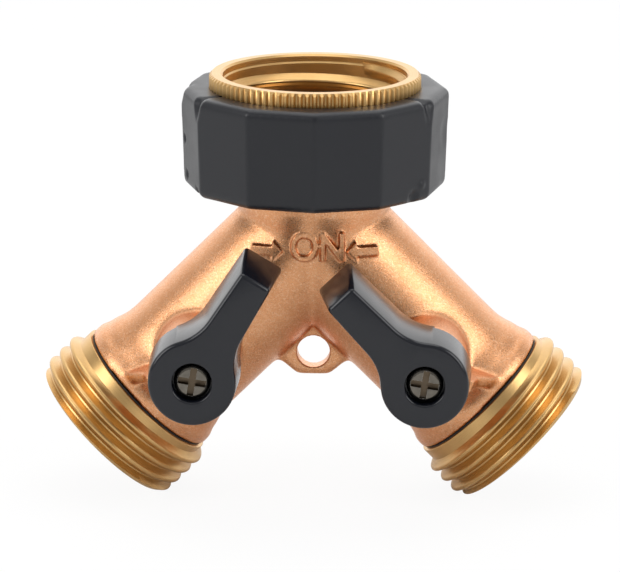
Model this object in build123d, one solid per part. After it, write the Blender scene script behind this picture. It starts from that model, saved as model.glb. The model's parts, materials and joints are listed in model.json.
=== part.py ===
from build123d import *
import os
from math import asin, cos, degrees, radians, sin, tan

# Two-way hose splitter, in millimetres.
# The origin is on the inlet axis, on the washer face that the tap seats on; +Z points out of the inlet
# mouth, the outlets leave towards -X and +X, and the levers are on the front, towards -Y.

# Hose thread, 3/4-11.5
pitch = 25.4 / 11.5
male_crest_r = 13.5
male_root_r = 12.2
female_crest_r = 12.35
female_root_r = 13.65
crest_land = 0.45
flank_angle = 30
female_turns = 4
male_turns = 3

# Inlet nut and its grip
nut_r = 16.0
nut_core_r = 15.6
mouth_z = 9.5
mouth_r = 13.95
mouth_depth = 1.1
first_land_z = 0.35
nut_lip_top = -4.6
nut_lip_bottom = -7.4
nut_lip_r = 9.3
grip_top_z = 7.4
grip_bottom_z = -7.9
grip_top_r = 20.3
grip_bottom_r = 19.75
grip_sides = 12
grip_turn = 1.5
grip_rim = 0.6
grip_lip_r = 12.1

# Washer and tailpiece
washer_r = 12.1
washer_hole_r = 8.0
washer_t = 3.0
washer_edge = 0.25
tailpiece_flange_r = 11.8
tailpiece_flange_t = 1.2
tailpiece_r = 8.9
tailpiece_bore_r = 7.5
tailpiece_end_z = -13.2
tailpiece_ring_z = -10.8
tailpiece_groove_w = 1.6
tailpiece_groove_depth = 1.0
ring_slack = 0.03

# Cast body
junction_z = -14.7
branch_angle = 45.0
neck_r = 11.45
neck_top_z = -7.8
neck_base_z = -10.4
arm_r = 10.4
flare_start = 28.0
flare_mid = 32.2
flare_mid_r = 11.15
collar_start = 33.6
collar_r = 11.9
arm_end = 35.9
passage_r = 5.2
chamber_start = 17.5
chamber_r = 8.3
socket_start = 31.1
socket_r = 9.2
boss_r = 6.2
boss_face = 16.8
stem_bore_r = 3.05
stem_pocket_r = 4.5
stem_pocket = 9.9
lug_t = 3.0
lug_hole_r = 2.5
lug_hole_z = -33.65
lug_outline = [(0, -37.4), (2.5, -37.4), (4.5, -35.6), (5.6, -35.0), (7.5, -33.4), (7.5, -30), (0, -24)]
stop_angle = -20.0
stop_w = 1.8
stop_inner = 5.4
stop_outer = 11.4
stop_foot = 9.0
stop_top = 18.2
stop_slope = [(7.4, stop_top), (8.3, 14.6), (stop_outer, 10.9)]

# Valves: distances along the arm are from the junction, heights are towards the front
pivot = 24.3
ball_r = 7.6
ball_bore_r = 4.5
ball_slot_w = 3.0
ball_slot_floor = 6.0
seat_r = 8.2
seat_hole_r = 5.0
seat_t = 2.5
seat_gap = 0.05
stem_r = 3.0
stem_head_r = 4.3
stem_head = (8.0, 9.4)
stem_shoulder = 17.0
stem_top = 22.2
stem_flats = 2.2
stem_end_r = 2.9
ring_heights = (11.7, 14.3)
ring_w = 1.4
ring_groove_r = 2.2
ring_round = 0.3
stem_tang = 6.0
stem_slip = 0.05
screw_hole_r = 1.53
screw_hole_floor = 15.6

# Levers
lever_rear = 17.3
lever_top = 27.0
lever_hub_r = 7.3
lever_length = 19.9
lever_tip_w = 3.28
lever_root_w = 3.95
lever_blend_r = 8.0
lever_draft = 4.8
lever_end_slope = 10.0
window_top = 18.6
window_r = 4.9
window_outer_r = 9.0
window_spare = 0.5
screw_recess_r = 2.95
screw_seat = 24.4
socket_slip = 0.04
lever_angle = {"left": 58.7, "right": 134.0}
screw_head_r = 2.75
screw_head_h = 1.8
screw_head_round = 0.8
screw_cross = (3.6, 0.8)
screw_cross_floor = screw_seat + 0.6
screw_r = 1.5
screw_end = 16.2

# Outlets
seal_t = 0.4
outlet_end = 45.3
nose_length = 0.85
outlet_bore_r = 9.6
outlet_bore_start = 38.2
outlet_throat_r = 6.0
outlet_nose_r = 12.7

sides = {"left": -1, "right": 1}


def turned(points):
    """A solid of revolution about Z, from a closed outline of (radius, height) points."""
    return revolve(Plane.XZ * make_face(Polyline(*points, close=True)), Axis.Z)


def tube(outer_r, inner_r, low, high):
    """A straight ring about Z between two heights."""
    return turned([(inner_r, low), (outer_r, low), (outer_r, high), (inner_r, high)])


def rod(r, low, high):
    return Pos(0, 0, (low + high) / 2) * Cylinder(r, high - low)


def slab(x, y, low, high):
    return Pos(0, 0, (low + high) / 2) * Box(x, y, high - low)


def arm_frame(side):
    """Local Z runs from the junction out along an arm."""
    lean = radians(branch_angle)
    out = (sides[side] * sin(lean), 0, -cos(lean))
    return Plane(origin=(0, 0, junction_z), x_dir=(0, 1, 0), z_dir=out).location


def pivot_frame(side, angle):
    """Local Z runs out of the front along a valve's stem, and local X at an angle above the horizontal."""
    lean = radians(branch_angle)
    turn = radians(angle)
    centre = (sides[side] * pivot * sin(lean), 0, junction_z - pivot * cos(lean))
    return Plane(origin=centre, x_dir=(cos(turn), 0, sin(turn)), z_dir=(0, -1, 0)).location


def valve_frame(side):
    return pivot_frame(side, lever_angle[side])


# Thread rings


def thread_land(crest_r, root_r, height):
    """One thread ridge as a ring of true crest, root and flank angle; height is its land's lower edge."""
    flank = abs(crest_r - root_r) * tan(radians(flank_angle))
    return [(root_r, height - flank), (crest_r, height), (crest_r, height + crest_land),
            (root_r, height + crest_land + flank)]


def land_heights(first, turns):
    return [first + turn * pitch for turn in range(turns)]


# Cast body


def neck_outline():
    return turned([(0, junction_z), (0, neck_top_z), (neck_r, neck_top_z), (neck_r, neck_base_z),
                   (arm_r, junction_z)])


def arm_outline(side):
    profile = [(0, 0), (arm_r, 0), (arm_r, flare_start), (flare_mid_r, flare_mid),
               (collar_r, collar_start), (collar_r, arm_end), (0, arm_end)]
    return arm_frame(side) * turned(profile)


def boss(side):
    return pivot_frame(side, 0) * rod(boss_r, 0, boss_face)


def stop_lug(side):
    """A cast fin from the boss to the collar, whose tall inner end stops the lever's skirt."""
    angle = stop_angle if side == "right" else 180 - stop_angle
    fin = Polyline((stop_inner, stop_foot), (stop_inner, stop_top), *stop_slope, (stop_outer, stop_foot),
                   close=True)
    plate = extrude(Plane.XZ * make_face(fin), amount=stop_w / 2, both=True)
    return pivot_frame(side, angle) * plate


def hanging_lug():
    other = [(-x, z) for x, z in reversed(lug_outline[1:-1])]
    face = make_face(Polyline(*lug_outline, *other, close=True))
    plate = extrude(Plane.XZ * face, amount=lug_t / 2, both=True)
    hole = Pos(0, 0, lug_hole_z) * Rot(90, 0, 0) * Cylinder(lug_hole_r, 2 * lug_t)
    return plate - hole


def valve_cavities(side):
    """The waterway, ball chamber and outlet socket of one arm, and the stem's bore through its boss."""
    way = rod(passage_r, 0, arm_end)
    chamber = rod(chamber_r, chamber_start, arm_end)
    socket = rod(socket_r, socket_start, arm_end + 1)
    stem_way = rod(stem_bore_r, 0, boss_face + 2) + rod(stem_pocket_r, 0, stem_pocket)
    return arm_frame(side) * (way + chamber + socket) + pivot_frame(side, 0) * stem_way


def splitter_body():
    shape = neck_outline() + Pos(0, 0, junction_z) * Sphere(arm_r)
    for side in sides:
        shape += arm_outline(side)
    shape += hanging_lug()
    for side in sides:
        shape += boss(side)
        shape += stop_lug(side)
    shape -= rod(tailpiece_r, tailpiece_end_z, junction_z + arm_r + 1)
    shape -= rod(tailpiece_bore_r, junction_z, tailpiece_end_z)
    shape -= tube(tailpiece_r + tailpiece_groove_depth, tailpiece_bore_r,
                  tailpiece_ring_z - tailpiece_groove_w / 2, tailpiece_ring_z + tailpiece_groove_w / 2)
    for side in sides:
        shape -= valve_cavities(side)
    return shape


# Inlet


def inlet_tailpiece():
    top = -washer_t
    under = top - tailpiece_flange_t
    return turned([(tailpiece_bore_r, tailpiece_end_z), (tailpiece_r, tailpiece_end_z), (tailpiece_r, under),
                   (tailpiece_flange_r, under), (tailpiece_flange_r, top), (tailpiece_bore_r, top)])


def tailpiece_o_ring():
    half = tailpiece_groove_w / 2 - 0.2
    ring = tube(tailpiece_r + tailpiece_groove_depth - ring_slack, tailpiece_r + ring_slack,
                tailpiece_ring_z - half, tailpiece_ring_z + half)
    return fillet(ring.edges(), ring_round)


def inlet_washer():
    return chamfer(tube(washer_r, washer_hole_r, -washer_t, 0).edges(), washer_edge)


def inlet_nut():
    """The swivel nut: a lip that the tailpiece traps, the female thread, and a knurled rim at the mouth."""
    outline = [(nut_lip_r, nut_lip_bottom), (nut_core_r, nut_lip_bottom), (nut_core_r, grip_top_z),
               (nut_r, grip_top_z), (nut_r, mouth_z), (mouth_r, mouth_z), (mouth_r, mouth_z - mouth_depth),
               (female_root_r, mouth_z - mouth_depth)]
    for height in reversed(land_heights(first_land_z, female_turns)):
        outline += reversed(thread_land(female_crest_r, female_root_r, height))
    outline += [(female_root_r, nut_lip_top), (nut_lip_r, nut_lip_top)]
    return turned(outline)


def nut_grip():
    """The twelve-sided rubber grip moulded round the nut, a little narrower at its lower end."""
    low = Pos(0, 0, grip_bottom_z) * RegularPolygon(grip_bottom_r, grip_sides, major_radius=True)
    high = Pos(0, 0, grip_top_z) * RegularPolygon(grip_top_r, grip_sides, major_radius=True)
    skin = loft([low, high])
    rim = skin.edges().filter_by(Plane.XY)
    skin = chamfer(rim, grip_rim)
    hollow = rod(nut_core_r, nut_lip_bottom, grip_top_z + 1) + rod(grip_lip_r, grip_bottom_z - 1, 0)
    return Rot(0, 0, grip_turn) * skin - hollow


# Outlets


def outlet(side):
    """The male hose end: a shank in the arm's socket, a plain collar, a thread and a chamfered nose."""
    back = arm_end + seal_t
    first = outlet_end - nose_length - crest_land - (male_turns - 1) * pitch
    outline = [(outlet_throat_r, socket_start), (socket_r, socket_start), (socket_r, back),
               (male_root_r, back)]
    for height in land_heights(first, male_turns):
        outline += thread_land(male_crest_r, male_root_r, height)
    outline[-1] = (outlet_nose_r, outlet_end)
    outline += [(outlet_bore_r, outlet_end), (outlet_bore_r, outlet_bore_start),
                (outlet_throat_r, outlet_bore_start)]
    return arm_frame(side) * turned(outline)


def outlet_seal(side):
    return arm_frame(side) * tube(collar_r - 0.25, socket_r, arm_end, arm_end + seal_t)


# Valve internals


def ball(side):
    shape = Sphere(ball_r) - Rot(0, 90, 0) * Cylinder(ball_bore_r, 3 * ball_r)
    shape -= slab(ball_slot_w, 3 * ball_r, ball_slot_floor, ball_r + 1)
    return valve_frame(side) * shape


def seat(side, start):
    ring = tube(seat_r, seat_hole_r, start, start + seat_t)
    return arm_frame(side) * (ring - Pos(0, 0, pivot) * Sphere(ball_r + seat_gap))


def stem(side):
    """Tang in the ball's slot, retaining head, sealed shank and a two-flat end for the lever."""
    tang = slab(ball_slot_w - 2 * stem_slip, stem_tang, ball_slot_floor + stem_slip, stem_head[0])
    shank = rod(stem_head_r, *stem_head) + rod(stem_r, stem_head[1], stem_shoulder)
    end = rod(stem_end_r, stem_shoulder, stem_top) & slab(2 * stem_flats, 2 * stem_r, stem_shoulder, stem_top)
    shape = tang + shank + end
    for height in ring_heights:
        shape -= tube(stem_r + 1, ring_groove_r, height - ring_w / 2, height + ring_w / 2)
    return valve_frame(side) * (shape - rod(screw_hole_r, screw_hole_floor, stem_top + 1))


def stem_o_rings(side):
    rings = []
    for height in ring_heights:
        ring = tube(stem_r, ring_groove_r + ring_slack, height - ring_w / 2 + 0.1, height + ring_w / 2 - 0.1)
        rings.append(valve_frame(side) * fillet(ring.edges(), ring_round))
    return Compound(children=rings)


def thrust_washer(side):
    return valve_frame(side) * tube(stem_head_r, stem_r + ring_slack, stem_head[1], stem_pocket - ring_slack)


# Levers


def lever_outline():
    """Hub circle and tapering arm, joined by concave blends."""
    arm = make_face(Polyline((0, lever_root_w), (lever_length, lever_tip_w),
                             (lever_length, -lever_tip_w), (0, -lever_root_w), close=True))
    shape = Circle(lever_hub_r) + arm
    corners = [v for v in shape.vertices() if 2 < v.X < lever_length - 1]
    return fillet(corners, lever_blend_r)


def skirt_windows():
    """Two gaps in the skirt, one on each side, that leave room for the stop lug over a quarter turn."""
    aside = degrees(asin(stop_w / 2 / stop_inner)) + window_spare
    start = branch_angle - stop_angle - aside
    span = 90 + 2 * aside
    edges = [CenterArc((0, 0), r, start, span) for r in (window_r, window_outer_r)]
    for angle in (start, start + span):
        ray = Vector(cos(radians(angle)), sin(radians(angle)))
        edges.append(Line(ray * window_r, ray * window_outer_r))
    sector = make_face(Curve() + edges)
    gap = Pos(0, 0, lever_rear - 1) * extrude(sector, amount=window_top - lever_rear + 1)
    return gap + mirror(gap, Plane.XZ)


def lever(side):
    shape = Pos(0, 0, lever_rear) * extrude(lever_outline(), amount=lever_top - lever_rear, taper=lever_draft)
    slope = Pos(lever_length, 0, lever_rear) * Rot(0, -lever_end_slope, 0) * Pos(10, 0, 0) * Box(20, 40, 60)
    shape -= slope
    shape -= skirt_windows()
    shape -= rod(screw_recess_r, screw_seat, lever_top + 1) + rod(screw_hole_r, 0, lever_top)
    socket = rod(stem_end_r + socket_slip, 0, stem_top)
    shape -= socket & slab(2 * (stem_flats + socket_slip), 4 * stem_r, 0, stem_top)
    return valve_frame(side) * shape


def lever_screw(side):
    """Pan head with a cross recess, and a shank in the stem."""
    head = rod(screw_head_r, screw_seat, screw_seat + screw_head_h)
    head = fillet(head.edges().group_by(Axis.Z)[-1], screw_head_round)
    arm = slab(*screw_cross, screw_cross_floor, lever_top)
    shape = head - arm - Rot(0, 0, 90) * arm
    shape += rod(screw_r, screw_end, screw_seat)
    return valve_frame(side) * shape


def write(node, shape):
    shape.label = node
    export_step(shape, f"parts/{node}.step")


os.makedirs("parts", exist_ok=True)
write("splitter_body", splitter_body())
write("inlet_tailpiece", inlet_tailpiece())
write("tailpiece_o_ring", tailpiece_o_ring())
write("inlet_washer", inlet_washer())
write("inlet_nut", inlet_nut())
write("nut_grip", nut_grip())
for side in sides:
    write(f"{side}_outlet", outlet(side))
    write(f"{side}_outlet_seal", outlet_seal(side))
    write(f"{side}_ball", ball(side))
    write(f"{side}_inner_seat", seat(side, chamber_start))
    write(f"{side}_outer_seat", seat(side, socket_start - seat_t))
    write(f"{side}_stem", stem(side))
    write(f"{side}_stem_o_rings", stem_o_rings(side))
    write(f"{side}_thrust_washer", thrust_washer(side))
    write(f"{side}_lever", lever(side))
    write(f"{side}_lever_screw", lever_screw(side))
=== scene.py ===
import json
from math import asin, cos, degrees, pi, radians, sin, sqrt, tan

import bmesh
import bpy
from mathutils import Euler, Matrix, Vector

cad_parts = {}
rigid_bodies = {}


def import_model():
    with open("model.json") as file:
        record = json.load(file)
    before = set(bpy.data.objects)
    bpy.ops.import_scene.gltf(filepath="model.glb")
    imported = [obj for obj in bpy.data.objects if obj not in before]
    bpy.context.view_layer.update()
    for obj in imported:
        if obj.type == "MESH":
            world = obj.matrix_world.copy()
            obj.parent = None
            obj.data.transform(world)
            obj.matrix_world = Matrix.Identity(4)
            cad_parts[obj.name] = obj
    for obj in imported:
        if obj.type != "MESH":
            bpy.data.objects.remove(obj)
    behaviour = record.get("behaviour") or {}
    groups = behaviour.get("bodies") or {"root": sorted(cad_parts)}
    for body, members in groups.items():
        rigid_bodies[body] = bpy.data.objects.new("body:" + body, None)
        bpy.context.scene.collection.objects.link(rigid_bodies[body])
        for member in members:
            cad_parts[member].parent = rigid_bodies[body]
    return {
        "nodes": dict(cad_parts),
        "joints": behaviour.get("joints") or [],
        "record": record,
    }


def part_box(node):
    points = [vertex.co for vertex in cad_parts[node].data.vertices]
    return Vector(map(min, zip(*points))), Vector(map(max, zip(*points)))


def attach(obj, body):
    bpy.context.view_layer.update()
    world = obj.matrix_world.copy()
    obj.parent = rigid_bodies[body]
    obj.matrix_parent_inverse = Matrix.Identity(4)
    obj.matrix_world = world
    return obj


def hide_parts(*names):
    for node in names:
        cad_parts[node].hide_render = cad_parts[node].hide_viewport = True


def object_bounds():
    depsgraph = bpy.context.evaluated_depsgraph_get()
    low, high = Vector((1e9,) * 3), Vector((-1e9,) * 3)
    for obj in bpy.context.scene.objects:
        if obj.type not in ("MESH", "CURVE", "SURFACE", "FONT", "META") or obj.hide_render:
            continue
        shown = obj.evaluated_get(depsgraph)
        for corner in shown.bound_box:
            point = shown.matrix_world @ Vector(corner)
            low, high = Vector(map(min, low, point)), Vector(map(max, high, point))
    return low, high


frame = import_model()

cadBox = [list(corner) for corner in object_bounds()]
mm = 0.001
sides = {"left": -1, "right": 1}
print("frame loaded")

# Places and sizes read from the frame, in millimetres unless they are vectors

mounts = {mount["name"]: mount for mount in frame["record"]["mounts"]}
joints = {joint["name"]: joint for joint in frame["joints"]}
threadAxis = Vector(mounts["right_outlet_thread"]["axis"])
threadPlace = Vector(mounts["right_outlet_thread"]["pos_m"])
junction = threadPlace - threadAxis * (threadPlace.x / threadAxis.x)
junctionHeight = junction.z / mm
pivots = {side: Vector(joints[f"{side}_valve_turn"]["pos_m"]) for side in sides}
outletEnd = (Vector(mounts["right_outlet_face"]["pos_m"]) - junction).dot(threadAxis) / mm
crestRadius = mounts["right_outlet_thread"]["dims"]["r_mm"]
nutLow, nutHigh = (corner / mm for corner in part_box("inlet_nut"))
gripLow, gripHigh = (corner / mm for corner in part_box("nut_grip"))
pitch = 25.4 / 11.5
# a lever's angle above the horizontal at rest: it stops a quarter turn past level with its own arm
steepest = 90 + degrees(asin(threadAxis.x))
leverAngle = {side: steepest - joints[f"{side}_valve_turn"]["range_deg"][1] for side in sides}


def axesMatrix(origin, xAxis, zAxis):
    columns = Matrix((xAxis, zAxis.cross(xAxis), zAxis)).transposed()
    return Matrix.Translation(origin) @ columns.to_4x4()


def armPlace(side):
    # local Z runs out along the arm, local X points to the back
    outward = Vector((sides[side] * threadAxis.x, 0, threadAxis.z))
    return axesMatrix(junction, Vector((0, 1, 0)), outward)


def pivotPlace(side, angle=0.0):
    # local Z runs out of the front along the stem, local X leans up from the horizontal
    turn = radians(angle)
    return axesMatrix(pivots[side], Vector((cos(turn), 0, sin(turn))), Vector((0, -1, 0)))


# Modelling helpers


def objectMode():
    if bpy.context.object and bpy.context.object.mode != "OBJECT":
        bpy.ops.object.mode_set(mode="OBJECT")


def clearSelection():
    objectMode()
    bpy.ops.object.select_all(action="DESELECT")


def pick(*pieces):
    clearSelection()
    for piece in pieces:
        piece.select_set(True)
    bpy.context.view_layer.objects.active = pieces[0]
    return pieces[0]


def editMode(piece):
    pick(piece)
    bpy.ops.object.mode_set(mode="EDIT")
    bpy.ops.mesh.select_all(action="SELECT")


def nameIt(name):
    piece = bpy.context.object
    piece.name = name
    piece.data.name = name
    return piece


def drawOutline(name, points):
    # a closed chain of edges, drawn one step at a time
    clearSelection()
    bpy.ops.mesh.primitive_plane_add(size=mm)
    piece = nameIt(name)
    bpy.ops.object.mode_set(mode="EDIT")
    bpy.ops.mesh.select_all(action="SELECT")
    bpy.ops.mesh.merge(type="CENTER")
    corners = [Vector(point) * mm for point in points]
    bpy.ops.transform.translate(value=corners[0])
    for before, after in zip(corners, corners[1:] + corners[:1]):
        bpy.ops.mesh.extrude_region_move(TRANSFORM_OT_translate={"value": after - before})
    bpy.ops.mesh.select_all(action="SELECT")
    bpy.ops.mesh.remove_doubles(threshold=1e-7)
    objectMode()
    return piece


def cleanShell(piece):
    editMode(piece)
    bpy.ops.mesh.remove_doubles(threshold=1e-6)
    bpy.ops.mesh.dissolve_degenerate(threshold=1e-7)
    bpy.ops.mesh.delete_loose()
    bpy.ops.mesh.select_all(action="SELECT")
    bpy.ops.mesh.normals_make_consistent(inside=False)
    objectMode()


def turnedPiece(name, outline, steps=96):
    piece = drawOutline(name, [(r, 0, z) for r, z in outline])
    editMode(piece)
    bpy.ops.mesh.spin(steps=steps, angle=2 * pi, center=(0, 0, 0), axis=(0, 0, 1))
    cleanShell(piece)
    return piece


def platePiece(name, outline, low, high):
    # a flat outline in XY, filled and raised between two heights
    piece = drawOutline(name, [(x, y, low) for x, y in outline])
    editMode(piece)
    bpy.ops.mesh.edge_face_add()
    bpy.ops.mesh.extrude_region_move(TRANSFORM_OT_translate={"value": (0, 0, (high - low) * mm)})
    cleanShell(piece)
    return piece


def rounded(outline, radius, steps=3):
    # every corner of a closed outline becomes a small arc, smaller where its sides are short
    points = []
    count = len(outline)
    for index, corner in enumerate(outline):
        here = Vector(corner)
        before = Vector(outline[index - 1]) - here
        after = Vector(outline[(index + 1) % count]) - here
        half = before.angle(after) / 2
        reach = min(radius / tan(half), 0.45 * before.length, 0.45 * after.length)
        if half > radians(85) or here.x < 1e-6:
            points.append(tuple(here))
            continue
        arcRadius = reach * tan(half)
        middle = here + (before.normalized() + after.normalized()).normalized() * (arcRadius / sin(half))
        start = here + before.normalized() * reach - middle
        finish = here + after.normalized() * reach - middle
        for step in range(steps + 1):
            share = step / steps
            offset = start.lerp(finish, share)
            points.append(tuple(middle + offset.normalized() * arcRadius))
    return points


def useModifier(piece, kind, **settings):
    pick(piece)
    modifier = piece.modifiers.new(kind.lower(), kind)
    for key, value in settings.items():
        setattr(modifier, key, value)
    bpy.ops.object.modifier_apply(modifier=modifier.name)


def cutBy(piece, *tools):
    for tool in tools:
        useModifier(piece, "BOOLEAN", operation="DIFFERENCE", object=tool, solver="EXACT")
        bpy.data.objects.remove(tool)


def joined(name, *pieces):
    pick(*pieces)
    bpy.ops.object.join()
    return nameIt(name)


def placed(piece, matrix):
    pick(piece)
    piece.matrix_world = matrix @ piece.matrix_world
    bpy.ops.object.transform_apply(location=True, rotation=True, scale=True)
    return piece


def clamped(value):
    return min(1, max(0, value))


def setRadius(vertex, target):
    share = target / (vertex.co.xy.length / mm)
    vertex.co.x *= share
    vertex.co.y *= share


def keepOwnPlace(piece):
    # the piece's own coordinates, in millimetres, for finishes that follow its axis
    attribute = piece.data.attributes.new("ownPlace", "FLOAT_VECTOR", "POINT")
    for vertex, value in zip(piece.data.vertices, attribute.data):
        value.vector = vertex.co / mm


def smoothShade(piece, angle=35):
    pick(piece)
    bpy.ops.object.shade_smooth_by_angle(angle=radians(angle))


def finishPiece(piece, body, slot, materials, *nodes):
    kinds = [face.material_index for face in piece.data.polygons]
    piece.data.materials.clear()
    for material in materials:
        piece.data.materials.append(material)
    for face, kind in zip(piece.data.polygons, kinds):
        face.material_index = min(kind, len(materials) - 1)
    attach(piece, body)
    if nodes:
        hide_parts(*nodes)


# Finishes: shared groups, then one material each


def newGroup(name, inputs, outputs):
    group = bpy.data.node_groups.new(name, "ShaderNodeTree")
    for label, kind, value in inputs:
        socket = group.interface.new_socket(name=label, in_out="INPUT", socket_type=kind)
        if value is not None:
            socket.default_value = value
    for label, kind in outputs:
        group.interface.new_socket(name=label, in_out="OUTPUT", socket_type=kind)
    return group, group.nodes.new("NodeGroupInput"), group.nodes.new("NodeGroupOutput")


def addNode(tree, kind, **settings):
    node = tree.nodes.new(kind)
    for key, value in settings.items():
        setattr(node, key, value)
    return node


def wire(tree, source, target):
    tree.links.new(source, target)


def rampNode(tree, stops):
    node = tree.nodes.new("ShaderNodeValToRGB")
    elements = node.color_ramp.elements
    while len(elements) < len(stops):
        elements.new(0.5)
    for element, (place, level) in zip(elements, stops):
        element.position = place
        element.color = (level, level, level, 1)
    return node


# how strongly the painted glints show: bright specks standing in for the sparkle of a blasted surface
paintedGlintLevels = [(0.6, 0), (1.0, 0.35)]


def makeGrainGroup():
    # blasted or moulded grain: two sizes of noise, with a mask of scattered fine bright specks that are
    # painted glints
    group, inside, out = newGroup(
        "surfaceGrain",
        [("Place", "NodeSocketVector", None), ("Grain Size", "NodeSocketFloat", 0.3),
         ("Patch Size", "NodeSocketFloat", 5.0)],
        [("Height", "NodeSocketFloat"), ("Patches", "NodeSocketFloat"), ("Painted Glints", "NodeSocketFloat")],
    )
    scaleOf = {}
    for label in ("Grain Size", "Patch Size"):
        divide = addNode(group, "ShaderNodeMath", operation="DIVIDE")
        divide.inputs[0].default_value = 1
        wire(group, inside.outputs[label], divide.inputs[1])
        scaleOf[label] = divide.outputs[0]
    fine = addNode(group, "ShaderNodeTexNoise")
    fine.inputs["Detail"].default_value = 3
    fine.inputs["Roughness"].default_value = 0.65
    patches = addNode(group, "ShaderNodeTexNoise")
    patches.inputs["Detail"].default_value = 4
    specks = addNode(group, "ShaderNodeTexVoronoi")
    for node, label in ((fine, "Grain Size"), (patches, "Patch Size"), (specks, "Grain Size")):
        wire(group, inside.outputs["Place"], node.inputs["Vector"])
        wire(group, scaleOf[label], node.inputs["Scale"])
    split = addNode(group, "ShaderNodeSeparateColor")
    wire(group, specks.outputs["Color"], split.inputs[0])
    bright = rampNode(group, paintedGlintLevels)
    wire(group, split.outputs[0], bright.inputs[0])
    wire(group, fine.outputs["Fac"], out.inputs["Height"])
    wire(group, patches.outputs["Fac"], out.inputs["Patches"])
    wire(group, bright.outputs["Color"], out.inputs["Painted Glints"])
    return group


def makeTurningGroup():
    # fine lathe lines round an axis, from the distance along it and from it
    group, inside, out = newGroup(
        "turningLines",
        [("Place", "NodeSocketVector", None), ("Spacing", "NodeSocketFloat", 0.15)],
        [("Height", "NodeSocketFloat"), ("Streaks", "NodeSocketFloat")],
    )
    split = addNode(group, "ShaderNodeSeparateXYZ")
    wire(group, inside.outputs["Place"], split.inputs[0])
    flat = addNode(group, "ShaderNodeCombineXYZ")
    wire(group, split.outputs["X"], flat.inputs["X"])
    wire(group, split.outputs["Y"], flat.inputs["Y"])
    radius = addNode(group, "ShaderNodeVectorMath", operation="LENGTH")
    wire(group, flat.outputs[0], radius.inputs[0])
    along = addNode(group, "ShaderNodeMath", operation="ADD")
    wire(group, split.outputs["Z"], along.inputs[0])
    wire(group, radius.outputs["Value"], along.inputs[1])
    count = addNode(group, "ShaderNodeMath", operation="DIVIDE")
    wire(group, along.outputs[0], count.inputs[0])
    wire(group, inside.outputs["Spacing"], count.inputs[1])
    lines = addNode(group, "ShaderNodeTexNoise", noise_dimensions="1D")
    lines.inputs["Scale"].default_value = 1
    lines.inputs["Detail"].default_value = 4
    lines.inputs["Roughness"].default_value = 0.7
    wire(group, count.outputs[0], lines.inputs["W"])
    streaks = addNode(group, "ShaderNodeTexNoise")
    streaks.inputs["Scale"].default_value = 0.35
    streaks.inputs["Detail"].default_value = 5
    wire(group, inside.outputs["Place"], streaks.inputs["Vector"])
    wire(group, lines.outputs["Fac"], out.inputs["Height"])
    wire(group, streaks.outputs["Fac"], out.inputs["Streaks"])
    return group


grainGroup = makeGrainGroup()
turningGroup = makeTurningGroup()


def placeSource(tree, ownPlace):
    # coordinates in millimetres, from the piece's own attribute or from the object
    if ownPlace:
        return addNode(tree, "ShaderNodeAttribute", attribute_name="ownPlace").outputs["Vector"]
    coordinates = addNode(tree, "ShaderNodeTexCoord")
    mapping = addNode(tree, "ShaderNodeMapping")
    mapping.inputs["Scale"].default_value = (1 / mm, 1 / mm, 1 / mm)
    wire(tree, coordinates.outputs["Object"], mapping.inputs["Vector"])
    return mapping.outputs["Vector"]


def newMaterial(name, metallic=0.0):
    material = bpy.data.materials.new(name)
    material.use_nodes = True
    tree = material.node_tree
    shader = tree.nodes["Principled BSDF"]
    shader.inputs["Metallic"].default_value = metallic
    return material, tree, shader


def colourBetween(tree, factor, low, high):
    mix = addNode(tree, "ShaderNodeMix", data_type="RGBA")
    mix.inputs["A"].default_value = (*low, 1)
    mix.inputs["B"].default_value = (*high, 1)
    wire(tree, factor, mix.inputs["Factor"])
    return mix.outputs["Result"]


noiseSpan = (0.3, 0.7)


def roughBetween(tree, factor, low, high, shader):
    span = addNode(tree, "ShaderNodeMapRange")
    for label, value in zip(("From Min", "From Max", "To Min", "To Max"), (*noiseSpan, low, high)):
        span.inputs[label].default_value = value
    wire(tree, factor, span.inputs["Value"])
    wire(tree, span.outputs[0], shader.inputs["Roughness"])


def bumpFrom(tree, height, strength, depth, shader):
    bump = addNode(tree, "ShaderNodeBump")
    bump.inputs["Strength"].default_value = strength
    bump.inputs["Distance"].default_value = depth * mm
    wire(tree, height, bump.inputs["Height"])
    wire(tree, bump.outputs[0], shader.inputs["Normal"])


def useGroup(tree, group, place, **values):
    node = addNode(tree, "ShaderNodeGroup", node_tree=group)
    wire(tree, place, node.inputs["Place"])
    for label, value in values.items():
        node.inputs[label.replace("_", " ")].default_value = value
    return node


copperFinish = {"shade": (0.66, 0.30, 0.135), "light": (0.82, 0.41, 0.205), "paintedGlint": (1.0, 0.70, 0.48),
                "grainSize": 0.18, "patchSize": 4.0, "rough": (0.22, 0.38), "bump": 0.9, "relief": 0.05}


def castCopper():
    f = copperFinish
    material, tree, shader = newMaterial("castCopper", metallic=1.0)
    grain = useGroup(tree, grainGroup, placeSource(tree, False), Grain_Size=f["grainSize"],
                     Patch_Size=f["patchSize"])
    base = colourBetween(tree, grain.outputs["Patches"], f["shade"], f["light"])
    # scattered bright specks are painted glints, the sparkle of the blasted copper
    lit = colourBetween(tree, grain.outputs["Painted Glints"], f["shade"], f["paintedGlint"])
    wire(tree, base, lit.node.inputs["A"])
    wire(tree, lit, shader.inputs["Base Color"])
    roughBetween(tree, grain.outputs["Height"], *f["rough"], shader)
    bumpFrom(tree, grain.outputs["Height"], f["bump"], f["relief"], shader)
    return material


brassFinish = {"shade": (0.57, 0.35, 0.135), "light": (0.73, 0.47, 0.20), "spacing": 0.12,
               "rough": (0.26, 0.40), "bump": 0.7, "relief": 0.007}


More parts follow.
